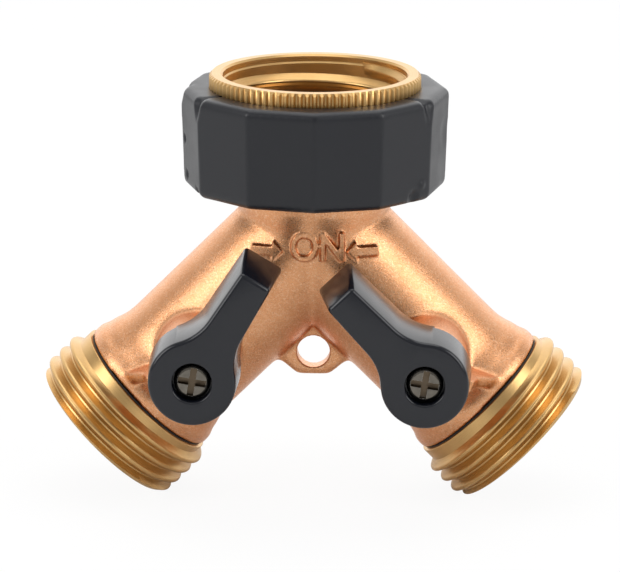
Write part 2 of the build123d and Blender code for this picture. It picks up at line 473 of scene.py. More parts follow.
def turnedBrass():
    f = brassFinish
    material, tree, shader = newMaterial("turnedBrass", metallic=1.0)
    lines = useGroup(tree, turningGroup, placeSource(tree, True), Spacing=f["spacing"])
    colour = colourBetween(tree, lines.outputs["Streaks"], f["shade"], f["light"])
    wire(tree, colour, shader.inputs["Base Color"])
    roughBetween(tree, lines.outputs["Height"], *f["rough"], shader)
    bumpFrom(tree, lines.outputs["Height"], f["bump"], f["relief"], shader)
    return material


def grainedFinish(name, low, high, rough, metallic=0.0, grainSize=0.25, patchSize=4.0, bump=0.6,
                  relief=0.01):
    material, tree, shader = newMaterial(name, metallic)
    grain = useGroup(tree, grainGroup, placeSource(tree, False), Grain_Size=grainSize, Patch_Size=patchSize)
    wire(tree, colourBetween(tree, grain.outputs["Patches"], low, high), shader.inputs["Base Color"])
    roughBetween(tree, grain.outputs["Patches"], *rough, shader)
    bumpFrom(tree, grain.outputs["Height"], bump, relief, shader)
    return material


# the other finishes: dark and light colour, roughness, and what differs from the usual grain
grainedFinishes = {
    "brass": ("plainBrass", (0.57, 0.35, 0.135), (0.73, 0.47, 0.20), (0.22, 0.34), {"metallic": 1.0}),
    "chrome": ("chromePlate", (0.78, 0.78, 0.79), (0.86, 0.86, 0.86), (0.05, 0.10),
               {"metallic": 1.0, "relief": 0.001}),
    "grip": ("gripRubber", (0.0025, 0.0033, 0.0068), (0.0055, 0.0066, 0.0108), (0.33, 0.43),
             {"grainSize": 0.22, "patchSize": 7.0, "relief": 0.012}),
    "lever": ("leverPlastic", (0.004, 0.005, 0.0088), (0.007, 0.0082, 0.0128), (0.16, 0.26),
              {"grainSize": 0.2, "patchSize": 5.0, "relief": 0.008}),
    "nickel": ("nickelPlate", (0.09, 0.082, 0.07), (0.22, 0.20, 0.17), (0.12, 0.24),
               {"metallic": 1.0, "patchSize": 0.8, "relief": 0.004}),
    # a bright plating for the screw's bevelled edges: painted highlights
    "highlightEdge": ("paintedHighlightPlating", (0.80, 0.78, 0.74), (0.92, 0.91, 0.88), (0.10, 0.20),
                 {"metallic": 1.0, "relief": 0.002}),
    # a dark finish for the inside of the screw's cross: painted shade in the recess
    "recess": ("paintedRecessShade", (0.08, 0.062, 0.042), (0.17, 0.13, 0.09), (0.25, 0.4), {"metallic": 1.0}),
    "ptfe": ("whitePtfe", (0.80, 0.80, 0.77), (0.88, 0.88, 0.86), (0.30, 0.45), {}),
    "seal": ("sealRubber", (0.012, 0.011, 0.011), (0.022, 0.020, 0.020), (0.40, 0.60), {}),
    "washer": ("washerRubber", (0.035, 0.034, 0.033), (0.055, 0.053, 0.050), (0.50, 0.70), {"relief": 0.02}),
}
materials = {"copper": castCopper(), "turned": turnedBrass()}
for label, (name, low, high, rough, changes) in grainedFinishes.items():
    materials[label] = grainedFinish(name, low, high, rough, **changes)
print("materials made")


# Inlet nut: knurled rim, helical thread, and the lip that the tailpiece traps

nutShape = {"rimLow": gripHigh.z, "rimTop": nutHigh.z, "rimRadius": nutHigh.x, "rimChamfer": 0.42,
            "teeth": 91, "toothDepth": 0.4, "toothLift": 0.95, "mouthRadius": 13.95, "mouthChamfer": 0.3,
            "mouthDepth": 1.1, "coreRadius": 15.6, "boreRadius": 13.75, "boreEase": 0.25,
            "crestRadius": 12.35, "lipTop": -4.6, "lipBottom": nutLow.z, "lipRadius": 9.3, "ridgeLift": 0.05,
            "ridgeStart": -0.7, "ridgeTurns": 3.75, "ridgeTurn": 150, "fadeIn": 0.35, "fadeOut": 0.3}


# one ridge: heights off the wall and below the crest, each with its spread beyond the foot or the land
ridgeShape = {"land": 0.22, "flank": 30.0, "footSpread": 0.02,
              "footEdge": [(-0.15, 0.06), (0, 0), (0.08, -0.12)], "crestEdge": [(0.30, 0.16), (0.09, 0.02)],
              "crestHalf": 0.06, "turnSteps": 96, "fadePower": 0.7}


def ridgeOutline(root, crest):
    s = ridgeShape
    outward = 1 if crest > root else -1
    foot = s["land"] + abs(crest - root) * tan(radians(s["flank"])) + s["footSpread"]
    half = [(root + outward * rise, foot + spread) for rise, spread in s["footEdge"]]
    half += [(crest - outward * drop, s["land"] + spread) for drop, spread in s["crestEdge"]]
    half.append((crest, s["crestHalf"]))
    return half + [(r, -z) for r, z in reversed(half)]


def threadRidge(name, root, crest, start, turns, turnedBy, fadeIn, fadeOut):
    # a right-hand ridge about Z whose crest starts at a height and turns upward
    outline = ridgeOutline(root, crest)
    piece = drawOutline(name, [(r, 0, z + start) for r, z in outline])
    steps = round(ridgeShape["turnSteps"] * turns)
    useModifier(piece, "SCREW", axis="Z", angle=2 * pi * turns, screw_offset=pitch * turns * mm, steps=steps,
                render_steps=steps, iterations=1, use_merge_vertices=False)
    count = len(outline)
    for index, vertex in enumerate(piece.data.vertices):
        turn = index // count / ridgeShape["turnSteps"]
        share = max(0.0, min(1, turn / fadeIn, (turns - turn) / fadeOut)) ** ridgeShape["fadePower"]
        radius = vertex.co.xy.length / mm
        target = root + (radius - root) * share
        if (radius - root) * (crest - root) > 0:
            setRadius(vertex, target)
    editMode(piece)
    bpy.ops.mesh.fill_holes(sides=0)
    bpy.ops.mesh.select_all(action="SELECT")
    bpy.ops.mesh.normals_make_consistent(inside=False)
    objectMode()
    return placed(piece, Matrix.Rotation(radians(turnedBy), 4, "Z"))


def makeNut():
    s = nutShape
    rimShoulder = s["rimTop"] - s["rimChamfer"]
    innerStep = s["rimTop"] - s["mouthDepth"]
    outline = [
        (s["coreRadius"], s["lipBottom"]), (s["coreRadius"], s["rimLow"]), (s["rimRadius"], s["rimLow"]),
        (s["rimRadius"], rimShoulder), (s["rimRadius"] - s["rimChamfer"], s["rimTop"]),
        (s["mouthRadius"] + s["mouthChamfer"], s["rimTop"]),
        (s["mouthRadius"], s["rimTop"] - s["mouthChamfer"]), (s["mouthRadius"], innerStep),
        (s["boreRadius"], innerStep - s["boreEase"]), (s["boreRadius"], s["lipTop"]),
        (s["lipRadius"], s["lipTop"]), (s["lipRadius"], s["lipBottom"]),
    ]
    piece = turnedPiece("turnedNut", outline, steps=4 * s["teeth"])
    knurlRim(piece, rimShoulder)
    ridge = threadRidge("nutRidge", s["boreRadius"] + s["ridgeLift"], s["crestRadius"], s["ridgeStart"],
                        s["ridgeTurns"], s["ridgeTurn"], s["fadeIn"], s["fadeOut"])
    piece = joined("turnedNut", piece, ridge)
    keepOwnPlace(piece)
    smoothShade(piece, 30)
    finishPiece(piece, "inlet_nut", "machined_brass", [materials["turned"]], "inlet_nut")


def knurlRim(piece, shoulder):
    # every second pair of columns is pressed in, so straight teeth are left standing
    s = nutShape
    editMode(piece)
    bpy.ops.mesh.select_all(action="DESELECT")
    mesh = bmesh.from_edit_mesh(piece.data)
    column = 2 * pi / (4 * s["teeth"])
    for vertex in mesh.verts:
        radius = vertex.co.xy.length / mm
        turn = round(vertex.co.xy.angle_signed(Vector((1, 0))) / column)
        outer = radius > s["rimRadius"] - 0.05
        vertex.select = outer and vertex.co.z / mm > s["rimLow"] - 0.1 and turn % 4 < 2
    mesh.select_flush_mode()
    bmesh.update_edit_mesh(piece.data)
    inward = 1 - s["toothDepth"] / s["rimRadius"]
    bpy.ops.transform.resize(value=(inward, inward, 1), center_override=(0, 0, 0))
    mesh = bmesh.from_edit_mesh(piece.data)
    for vertex in mesh.verts:
        vertex.select = vertex.select and vertex.co.z / mm > shoulder - 0.1
    mesh.select_flush_mode()
    bmesh.update_edit_mesh(piece.data)
    bpy.ops.transform.translate(value=(0, 0, s["toothDepth"] * mm * s["toothLift"]))
    objectMode()


makeNut()
print("nut made")

# Outlets: a shank in the arm, a plain collar, the helical thread and a chamfered nose

outletShape = {"shankStart": 31.1, "shankRadius": 9.2, "collarStart": 36.12, "rootRadius": 12.2,
               "noseRadius": 12.7, "noseEdge": 0.12, "noseInset": 0.01, "boreRadius": 9.6, "boreStart": 38.2,
               "boreEase": 0.8, "throatRadius": 6.0, "edge": 0.12, "steps": 128,
               "crestAt": {"left": 38.05, "right": 38.2}, "crestTurn": 90, "startTurn": -60,
               "fadeIn": 0.35, "fadeOut": 0.01, "runOut": 1.3}


def makeOutlet(side):
    s = outletShape
    noseEdge = s["noseEdge"]
    outline = rounded([
        (s["throatRadius"], s["shankStart"]), (s["shankRadius"], s["shankStart"]),
        (s["shankRadius"], s["collarStart"]), (s["rootRadius"], s["collarStart"]),
        (s["rootRadius"], outletEnd - noseEdge), (s["rootRadius"] - noseEdge, outletEnd),
        (s["boreRadius"] + noseEdge, outletEnd), (s["boreRadius"], outletEnd - noseEdge),
        (s["boreRadius"], s["boreStart"]), (s["throatRadius"], s["boreStart"] - s["boreEase"]),
    ], s["edge"])
    piece = turnedPiece(f"{side}_hose_end", outline, steps=s["steps"])
    # the first crest's height is given at one turn about the arm, and the ridge starts some way before it
    first = s["crestAt"][side] - (s["crestTurn"] - s["startTurn"]) / 360 * pitch
    turns = (outletEnd + s["runOut"] - first) / pitch
    ridge = threadRidge(f"{side}Ridge", s["rootRadius"], crestRadius, first, turns, s["startTurn"],
                        s["fadeIn"], s["fadeOut"])
    # the ridge stops at the end face and is chamfered down to the nose
    for vertex in ridge.data.vertices:
        height = min(vertex.co.z / mm, outletEnd - s["noseInset"])
        limit = s["noseRadius"] + outletEnd - height
        if vertex.co.xy.length / mm > limit:
            setRadius(vertex, limit)
        vertex.co.z = height * mm
    piece = joined(f"{side}_hose_end", piece, ridge)
    keepOwnPlace(piece)
    placed(piece, armPlace(side))
    smoothShade(piece, 40)
    finishPiece(piece, "splitter_body", "machined_brass", [materials["turned"]], f"{side}_outlet")


for side in sides:
    makeOutlet(side)
print("outlets made")

# Cast body: neck, arms, bosses and lug grown together, then machined, then marked

castShape = {"neckRadius": 11.45, "neckTop": -7.8, "neckBase": -10.4, "armRadius": 10.4, "armEnd": 35.9,
             "rootSpread": 0.1, "bossRadius": 6.25, "bossFace": 16.8, "bossEdge": 0.15, "bossRoot": (4, 9.5),
             "bossShoulder": 16.0, "faceDepth": 0.12, "lugThickness": 3.0, "lugHole": 2.5,
             "lugHoleHeight": -33.65, "coarseVoxel": 0.4, "fineVoxel": 0.2, "blendSteps": 22,
             "blendEnds": (29.5, 31.5), "faceBlend": (14.2, 1.5), "neckBlend": (-9.0, 9.0),
             "triangles": 190000}
# radius and place along the arm, from the plain tube out to the collar's rim
armFlare = [(castShape["armRadius"], 28.5), (10.48, 29.6), (10.68, 30.6), (10.98, 31.5), (11.2, 32.2),
            (11.28, 32.8), (11.42, 33.3), (11.7, 33.8), (11.88, 34.4), (11.9, 35.0)]
armRim = {"radius": 11.9, "edge": 0.25}
lugHalf = [(0, -37.4), (2.5, -37.4), (4.5, -35.6), (5.6, -35.0), (7.5, -33.4), (7.5, -30.0), (0, -24.0)]
cavityShape = {"neckBore": 8.9, "neckFloor": -13.2, "sleeveBore": 7.5, "passage": 5.2, "passageStart": -0.5,
               "chamber": 8.3, "chamberStart": 17.5, "socket": 9.2, "socketStart": 31.1, "stemBore": 3.05,
               "stemPocket": 4.5, "pocketDepth": 9.9, "past": 3}
stopShape = {"angle": -20.0, "width": 1.8,
             "outline": [(5.4, 8.0), (5.4, 18.2), (7.4, 18.2), (8.3, 14.6), (11.4, 10.9), (12.2, 8.0)],
             "softStart": 7.6, "softEnd": 13.5, "softSpread": 42, "softHeight": 5, "softSteps": 45}
markShape = {"letters": (-3.2, 4.8, -17.2, -12.7), "boldness": 0.02, "extrude": 0.2, "deepen": 4.0,
             "relief": 0.62, "surface": 10.4, "arrowInner": {"left": 4.4, "right": 5.1}, "arrowReach": 4.9,
             "arrowHeight": -15.8, "arrowShaft": 1.4, "arrowHead": 3.1, "arrowLean": 16.5,
             "arrowDepth": 10.15, "arrowFoot": -1.2, "arrowRelief": 0.5}


def castArm(side):
    end, rim, edge = castShape["armEnd"], armRim["radius"], armRim["edge"]
    profile = [(0, 0), (castShape["armRadius"], 0)] + armFlare
    profile += [(rim, end - edge), (rim - edge, end), (0, end)]
    return placed(turnedPiece("arm", profile), armPlace(side))


def castBoss(side):
    s = castShape
    radius, edge, (low, high) = s["bossRadius"], s["bossEdge"], s["bossRoot"]
    profile = [(0, low), (radius + s["rootSpread"], low), (radius + s["rootSpread"], high),
               (radius, s["bossShoulder"]), (radius, s["bossFace"] - edge), (radius - edge, s["bossFace"]),
               (0, s["bossFace"])]
    return placed(turnedPiece("boss", profile, steps=64), pivotPlace(side))


def hangingLug():
    thickness = castShape["lugThickness"]
    outline = lugHalf + [(-x, z) for x, z in reversed(lugHalf[1:-1])]
    plate = platePiece("lug", outline, -thickness / 2, thickness / 2)
    return placed(plate, Matrix.Rotation(radians(90), 4, "X"))


def roughCasting():
    s = castShape
    root = s["armRadius"] + s["rootSpread"]
    neck = turnedPiece("neck", [(0, s["neckTop"]), (s["neckRadius"], s["neckTop"]),
                                (s["neckRadius"], s["neckBase"]), (root, junctionHeight),
                                (0, junctionHeight)])
    clearSelection()
    bpy.ops.mesh.primitive_uv_sphere_add(radius=s["armRadius"] * mm, location=junction, segments=96,
                                         ring_count=48)
    knuckle = nameIt("knuckle")
    placed(knuckle, Matrix.Identity(4))
    parts = [neck, knuckle, hangingLug()]
    for side in sides:
        parts += [castArm(side), castBoss(side)]
    body = joined("cast_body", *parts)
    useModifier(body, "REMESH", mode="VOXEL", voxel_size=s["coarseVoxel"] * mm)
    softenJoins(body)
    return body


def keepMainShell(piece):
    # the shell that reaches furthest out is the casting, and anything loose inside it goes
    editMode(piece)
    bpy.ops.mesh.select_all(action="DESELECT")
    mesh = bmesh.from_edit_mesh(piece.data)
    max(mesh.verts, key=lambda vertex: vertex.co.x).select = True
    bmesh.update_edit_mesh(piece.data)
    bpy.ops.mesh.select_linked()
    bpy.ops.mesh.select_all(action="INVERT")
    bpy.ops.mesh.delete(type="VERT")
    objectMode()


def softenJoins(body):
    # the casting's fillets: everything is relaxed except the collars, the boss faces and the neck's top
    s = castShape
    group = body.vertex_groups.new(name="soft")
    places = {side: armPlace(side).inverted() for side in sides}
    start, finish = s["blendEnds"]
    (faceStart, faceSpan), (neckStart, neckSpan) = s["faceBlend"], s["neckBlend"]
    for vertex in body.data.vertices:
        side = "right" if vertex.co.x > 0 else "left"
        reach = (places[side] @ vertex.co).z / mm
        weight = 1 - clamped((reach - start) / (finish - start))
        weight *= clamped((faceStart + vertex.co.y / mm) / faceSpan)
        weight *= clamped((neckStart - vertex.co.z / mm) / neckSpan)
        group.add([vertex.index], weight, "REPLACE")
    useModifier(body, "SMOOTH", factor=0.5, iterations=s["blendSteps"], vertex_group="soft")


def boreSteps(heights, radii):
    # the outline of a stepped bore: each radius holds between two of the heights
    outline = [(0, heights[0])]
    for low, high, radius in zip(heights, heights[1:], radii):
        outline += [(radius, low), (radius, high)]
    return outline + [(0, heights[-1])]


def cavityTools():
    c, s = cavityShape, castShape
    past = c["past"]
    neck = turnedPiece("neckTool", boreSteps([junctionHeight, c["neckFloor"], s["neckTop"] + past],
                                             [c["sleeveBore"], c["neckBore"]]))
    clearSelection()
    depth = s["lugThickness"] + 5
    bpy.ops.mesh.primitive_cylinder_add(radius=s["lugHole"] * mm, depth=depth * mm, vertices=64,
                                        location=(0, 0, s["lugHoleHeight"] * mm),
                                        rotation=(radians(90), 0, 0))
    hole = nameIt("holeTool")
    placed(hole, Matrix.Identity(4))
    tools = [neck, hole]
    wayHeights = [c["passageStart"], c["chamberStart"], c["socketStart"], s["armEnd"] + past]
    for side in sides:
        way = turnedPiece("wayTool", boreSteps(wayHeights, [c["passage"], c["chamber"], c["socket"]]))
        stem = turnedPiece("stemTool", boreSteps([0, c["pocketDepth"], s["bossFace"] + past],
                                                 [c["stemPocket"], c["stemBore"]]), steps=64)
        tools += [placed(way, armPlace(side)), placed(stem, pivotPlace(side))]
    return tools


def stopLug(side):
    s = stopShape
    angle = s["angle"] if side == "right" else 180 - s["angle"]
    fin = platePiece("stop", s["outline"], -s["width"] / 2, s["width"] / 2)
    placed(fin, Matrix.Rotation(radians(90), 4, "X"))
    return placed(fin, pivotPlace(side, angle))


def softenStops(body):
    # the lugs beyond the boss are soft castings, and stay crisp only where the lever's skirt meets them
    s = stopShape
    group = body.vertex_groups.new(name="stops")
    places = {side: pivotPlace(side).inverted() for side in sides}
    for vertex in body.data.vertices:
        side = "right" if vertex.co.x > 0 else "left"
        local = places[side] @ vertex.co / mm
        turn = degrees(Vector((sides[side], 0)).angle(local.xy)) if local.xy.length > 1 else 180
        near = turn < s["softSpread"] and local.y < 1
        beyond = s["softStart"] < local.xy.length < s["softEnd"]
        if near and beyond and local.z > s["softHeight"]:
            group.add([vertex.index], 1, "REPLACE")
    useModifier(body, "SMOOTH", factor=0.5, iterations=s["softSteps"], vertex_group="stops")


def flowLetters():
    # the generic word that tells where a valve is open, raised on the front
    s = markShape
    left, right, low, high = s["letters"]
    clearSelection()
    bpy.ops.object.text_add()
    text = bpy.context.object.data
    text.body = "ON"
    text.offset = s["boldness"]
    text.extrude = s["extrude"]
    bpy.ops.object.convert(target="MESH")
    piece = nameIt("letters")
    xs = [vertex.co.x for vertex in piece.data.vertices]
    ys = [vertex.co.y for vertex in piece.data.vertices]
    scale = ((right - left) / (max(xs) - min(xs)) * mm, (high - low) / (max(ys) - min(ys)) * mm,
             s["deepen"] * mm)
    piece.scale = scale
    piece.location = (-min(xs) * scale[0], -min(ys) * scale[1], 0)
    placed(piece, Matrix.Identity(4))
    deep = max(vertex.co.z for vertex in piece.data.vertices)
    move = Matrix.Translation((left * mm, -(s["surface"] + s["relief"]) * mm + deep, low * mm))
    return placed(piece, move @ Matrix.Rotation(radians(90), 4, "X"))


def flowArrow(side):
    s = markShape
    shaft, head, reach = s["arrowShaft"] / 2, s["arrowHead"] / 2, s["arrowReach"]
    outline = [(0, 0), (head, -head), (head, -shaft), (reach, -shaft), (reach, shaft), (head, shaft),
               (head, head)]
    piece = platePiece("arrow", outline, s["arrowFoot"], s["arrowRelief"])
    lean = Matrix.Rotation(radians(s["arrowLean"]), 4, "Z")
    place = Matrix.Translation((s["arrowInner"][side] * mm, -s["arrowDepth"] * mm, s["arrowHeight"] * mm))
    placed(piece, place @ lean @ Matrix.Rotation(radians(90), 4, "X"))
    if side == "left":
        placed(piece, Matrix.Scale(-1, 4, Vector((1, 0, 0))))
        cleanShell(piece)
    return piece


def makeBody():
    s = castShape
    body = roughCasting()
    print("rough casting", len(body.data.polygons))
    cutBy(body, *cavityTools())
    print("machined", len(body.data.polygons))
    parts = [body, flowLetters()]
    for side in sides:
        parts += [stopLug(side), flowArrow(side)]
    body = joined("cast_body", *parts)
    useModifier(body, "REMESH", mode="VOXEL", voxel_size=s["fineVoxel"] * mm)
    useModifier(body, "SMOOTH", factor=0.5, iterations=1)
    keepMainShell(body)
    softenStops(body)
    count = sum(len(face.vertices) - 2 for face in body.data.polygons)
    if count > s["triangles"]:
        useModifier(body, "DECIMATE", ratio=s["triangles"] / count)
    print("cast body", count)
    cleanShell(body)
    pick(body)
    bpy.ops.object.shade_smooth()
    # the turned faces of the two bosses show plain brass
    for face in body.data.polygons:
        flat = face.center.y / mm < -(s["bossFace"] - s["faceDepth"]) and face.normal.y < -0.9
        onBoss = any((face.center - pivots[side]).xz.length / mm < s["bossRadius"] for side in sides)
        face.material_index = int(flat and onBoss)
    finishPiece(body, "splitter_body", "cast_copper_brass", [materials["copper"], materials["brass"]],
                "splitter_body")


makeBody()
print("body made")

# Grip: a soft twelve-sided skin round the nut, with its moulding notches and handling nicks

gripShape = {"sides": 12, "topRadius": 20.3, "bottomRadius": 19.75, "voxel": 0.3, "cornerSoft": 1.3,
             "rimSoft": 1.2, "coreRadius": 15.6, "lipRadius": 12.1, "turn": 1.5, "toolPast": 2,
             "notches": (90.0, 210.0, 330.0), "notchDepth": 1.1, "notchWidth": 0.75, "notchLength": 3.6,
             "nickReach": 0.6, "nickDepth": 0.45,
             # each dent's turn about the nut, height, reach and depth
             "dents": [(186, -0.4, 0.9, 0.55), (188, -5.8, 1.0, 0.5), (206, -7.4, 1.3, 0.6),
                       (322, -6.8, 1.4, 0.5), (327, -5.2, 0.9, -0.25), (178, 7.2, 3.2, 0.75),
                       (172, 2.2, 2.6, 0.2), (355, 1.0, 3.0, 0.2)]}


def makeGrip():
    s = gripShape
    clearSelection()
    height = gripHigh.z - gripLow.z
    bpy.ops.mesh.primitive_cone_add(vertices=s["sides"], radius1=s["bottomRadius"] * mm,
                                    radius2=s["topRadius"] * mm, depth=height * mm,
                                    location=(0, 0, (gripLow.z + gripHigh.z) / 2 * mm))
    piece = nameIt("rubber_grip")
    placed(piece, Matrix.Rotation(radians(90 + s["turn"]), 4, "Z"))
    editMode(piece)
    bpy.ops.mesh.select_all(action="DESELECT")
    mesh = bmesh.from_edit_mesh(piece.data)
    for edge in mesh.edges:
        edge.select = abs((edge.verts[0].co - edge.verts[1].co).z) > 5 * mm
    mesh.select_flush_mode()
    bmesh.update_edit_mesh(piece.data)
    bpy.ops.mesh.bevel(offset=s["cornerSoft"] * mm, segments=3, affect="EDGES")
    objectMode()
    useModifier(piece, "BEVEL", width=s["rimSoft"] * mm, segments=4, limit_method="ANGLE",
                angle_limit=radians(50))
    heights = [gripLow.z - s["toolPast"], nutLow.z, gripHigh.z + s["toolPast"]]
    cutBy(piece, turnedPiece("gripTool", boreSteps(heights, [s["lipRadius"], s["coreRadius"]]), steps=128))
    useModifier(piece, "REMESH", mode="VOXEL", voxel_size=s["voxel"] * mm)
    useModifier(piece, "SMOOTH", factor=0.5, iterations=2)
    for vertex in piece.data.vertices:
        vertex.co += gripFlaw(vertex.co / mm) * mm
    pick(piece)
    bpy.ops.object.shade_smooth()
    finishPiece(piece, "inlet_nut", "grip_rubber", [materials["grip"]], "nut_grip")


def asideOf(turn, place, radius):
    # the distance round the nut from one turn about its axis to another
    return radians((turn - place + 180) % 360 - 180) * radius


def gripFlaw(co):
    # how far one point of the skin is pushed: notches down from the rim, shallow dents and nicks
    s = gripShape
    radius = co.xy.length
    push = Vector((0, 0, 0))
    if radius < s["coreRadius"] + 0.3:
        return push
    outward = Vector((co.x, co.y, 0)).normalized()
    turn = -degrees(Vector((1, 0)).angle_signed(co.xy)) % 360
    drop = gripHigh.z - co.z
    fade = max(0.0, 1 - drop / s["notchLength"])
    rim = max(0.0, 1 - drop / s["nickReach"])
    for notch in s["notches"]:
        aside = abs(asideOf(turn, notch, radius))
        push -= outward * s["notchDepth"] * fade * max(0.0, 1 - aside / (s["notchWidth"] * (1 + fade)))
        push.z -= s["nickDepth"] * rim * max(0.0, 1 - aside / s["nickReach"])
    for place, height, reach, depth in s["dents"]:
        aside = asideOf(turn, place, radius)
        share = max(0.0, 1 - (aside ** 2 + (co.z - height) ** 2) / reach ** 2)
        push -= outward * depth * share ** 2
    return push


makeGrip()
print("grip made")

# Levers: hub and tapering arm, drafted, with a recess for the screw and two skirt windows

leverShape = {"rear": 17.3, "top": 27.0, "hubRear": 6.95, "hubDraft": 0.45, "length": 19.9,
              "rootHalf": 3.95, "tipHalf": 3.28, "blend": 8.0, "hubSteps": 24, "blendSteps": 10,
              "draft": 4.8, "endSlope": 10.0, "edge": 0.6, "windowTop": 18.6, "windowRadius": 4.9,
              "windowStart": 54.9, "windowSpan": 110.2, "windowSteps": 16, "recessRadius": 2.95,
              "recessFloor": 24.4, "recessLip": 0.3, "lipTurns": (0, 22, 45, 68, 90), "shaftRadius": 3.1,
              "shaftTop": 22.2, "screwHole": 1.6, "past": 1}
screwShape = {"radius": 2.75, "seat": 24.4, "height": 1.8, "flatRadius": 1.9, "fall": 1.25,
              "crossLength": 4.2, "crossWidth": 1.0, "crossTurn": -9.0, "crossDepth": 1.2, "edge": 0.13,
              "edgeDepth": 0.16, "shankRadius": 1.5, "shankEnd": 16.2}


def leverOutline(hub, rootHalf, tipHalf, length):
    # the hub's arc, a concave blend on each side and straight tapering edges
    blend = leverShape["blend"]
    slope = (rootHalf - tipHalf) / length
    rise = sqrt(1 + slope * slope)
    lift = rootHalf + blend * rise
    reach = hub + blend
    a, b, c = 1 + slope * slope, -2 * lift * slope, lift * lift - reach * reach
    centreX = (-b + sqrt(b * b - 4 * a * c)) / (2 * a)
    blendCentre = Vector((centreX, lift - slope * centreX))
    touch = blendCentre.normalized() * hub
    hubTurn = degrees(Vector((1, 0)).angle(touch))
    half = []
    for step in range(leverShape["hubSteps"], -1, -1):
        turn = radians(hubTurn + (180 - hubTurn) * step / leverShape["hubSteps"])
        half.append((hub * cos(turn), hub * sin(turn)))
    foot = blendCentre - Vector((slope, 1)) / rise * blend
    start, finish = touch - blendCentre, foot - blendCentre
    for step in range(1, leverShape["blendSteps"] + 1):
        ray = start.lerp(finish, step / leverShape["blendSteps"]).normalized() * blend
        half.append(tuple(blendCentre + ray))
    half.append((length, tipHalf))
    return half + [(x, -y) for x, y in reversed(half[1:])]


def windowTool(sign):
    # a sector cut through the skirt, where the casting's stop lug travels
    s = leverShape
    start, span, inner, outer = s["windowStart"], s["windowSpan"], s["windowRadius"], s["hubRear"] + 2
    angles = [radians(start + span * step / s["windowSteps"]) for step in range(s["windowSteps"] + 1)]
    points = [(outer * cos(a), sign * outer * sin(a)) for a in angles]
    points += [(inner * cos(a), sign * inner * sin(a)) for a in reversed(angles)]
    return platePiece("windowTool", points, s["rear"] - s["past"], s["windowTop"])


def makeLever(side):
    s = leverShape
    height = s["top"] - s["rear"]
    shrink = height * tan(radians(s["draft"]))
    back = height * tan(radians(s["endSlope"]))
    rear = leverOutline(s["hubRear"], s["rootHalf"], s["tipHalf"], s["length"])
    top = leverOutline(s["hubRear"] - s["hubDraft"], s["rootHalf"] - shrink, s["tipHalf"] - shrink,
                       s["length"] - back)
    low = drawOutline("leverRear", [(x, y, s["rear"]) for x, y in rear])
    high = drawOutline("leverTop", [(x, y, s["top"]) for x, y in top])
    piece = joined(f"{side}_handle", low, high)
    editMode(piece)
    bpy.ops.mesh.bridge_edge_loops()
    bpy.ops.mesh.select_all(action="SELECT")
    bpy.ops.mesh.fill_holes(sides=0)
    cleanShell(piece)
    useModifier(piece, "BEVEL", width=s["edge"] * mm, segments=4, limit_method="ANGLE",
                angle_limit=radians(45))
    radius, lip, topPast = s["recessRadius"], s["recessLip"], s["top"] + s["past"]
    profile = [(0, s["recessFloor"]), (radius, s["recessFloor"])]
    for turn in s["lipTurns"]:
        profile.append((radius + lip * (1 - cos(radians(turn))), s["top"] - lip * (1 - sin(radians(turn)))))
    profile += [(radius + lip, topPast), (0, topPast)]
    recess = turnedPiece("recessTool", profile, steps=64)
    heights = [s["rear"] - s["past"], s["shaftTop"], s["top"] - s["past"]]
    shaft = turnedPiece("shaftTool", boreSteps(heights, [s["shaftRadius"], s["screwHole"]]), steps=48)
    cutBy(piece, windowTool(1), windowTool(-1), recess, shaft)
    placed(piece, pivotPlace(side, leverAngle[side]))
    smoothShade(piece, 30)
    finishPiece(piece, f"{side}_valve", "lever_plastic", [materials["lever"]], f"{side}_lever")


def makeScrew(side):
    s = screwShape
    top = s["seat"] + s["height"]
    flat, fallWidth = s["flatRadius"], s["radius"] - s["flatRadius"]
    dome = [(0, top)]
    for turn in range(0, 91, 15):
        dome.append((flat + fallWidth * sin(radians(turn)), top - s["fall"] * (1 - cos(radians(turn)))))
    outline = [(0, s["shankEnd"]), (s["shankRadius"], s["shankEnd"]), (s["shankRadius"], s["seat"]),
               (s["radius"], s["seat"])] + dome[::-1]
    piece = turnedPiece(f"{side}_cross_screw", outline, steps=64)
    half, width = s["crossLength"] / 2, s["crossWidth"] / 2
    bars = []
    for turn in (0, 90):
        bar = platePiece("bar", [(-half, -width), (half, -width), (half, width), (-half, width)],
                         top - s["crossDepth"], top + 1)
        turn += s["crossTurn"] - leverAngle[side]
        bars.append(placed(bar, Matrix.Rotation(radians(turn), 4, "Z")))
    cutBy(piece, *bars)
    finishes = [materials["nickel"], materials["highlightEdge"], materials["recess"]]
    for material in finishes:
        piece.data.materials.append(material)
    # the bevelled edges get a bright plating as painted highlights, and what lies deeper in the cross gets a
    # dark finish as painted shade
    useModifier(piece, "BEVEL", width=s["edge"] * mm, segments=3, material=1, limit_method="ANGLE",
                angle_limit=radians(40))
    # faces deep inside the cross take the dark finish, which is painted shade
    for face in piece.data.polygons:
        middle = face.center / mm
        if s["seat"] < middle.z < top - s["edgeDepth"] and middle.xy.length < half - 0.02:
            face.material_index = 2
    keepOwnPlace(piece)
    placed(piece, pivotPlace(side, leverAngle[side]))
    smoothShade(piece, 35)
    finishPiece(piece, f"{side}_valve", "nickel_steel", finishes, f"{side}_lever_screw")


for side in sides:
    makeLever(side)
    makeScrew(side)
print("levers made")

# Carried-over pieces keep their CAD shape and get their finish here

carriedFinish = {"machined_brass": "brass", "seal_rubber": "seal", "washer_rubber": "washer",
                 "plated_brass": "chrome", "white_ptfe": "ptfe", "cast_copper_brass": "copper",
                 "grip_rubber": "grip", "lever_plastic": "lever", "nickel_steel": "nickel"}


def finishCarriedNodes():
    for subpart in frame["record"]["subparts"]:
        node = frame["nodes"][subpart["node"]]
        node.data.materials.clear()
        node.data.materials.append(materials[carriedFinish[subpart["material_slot"]]])


finishCarriedNodes()

# Stage, light and camera

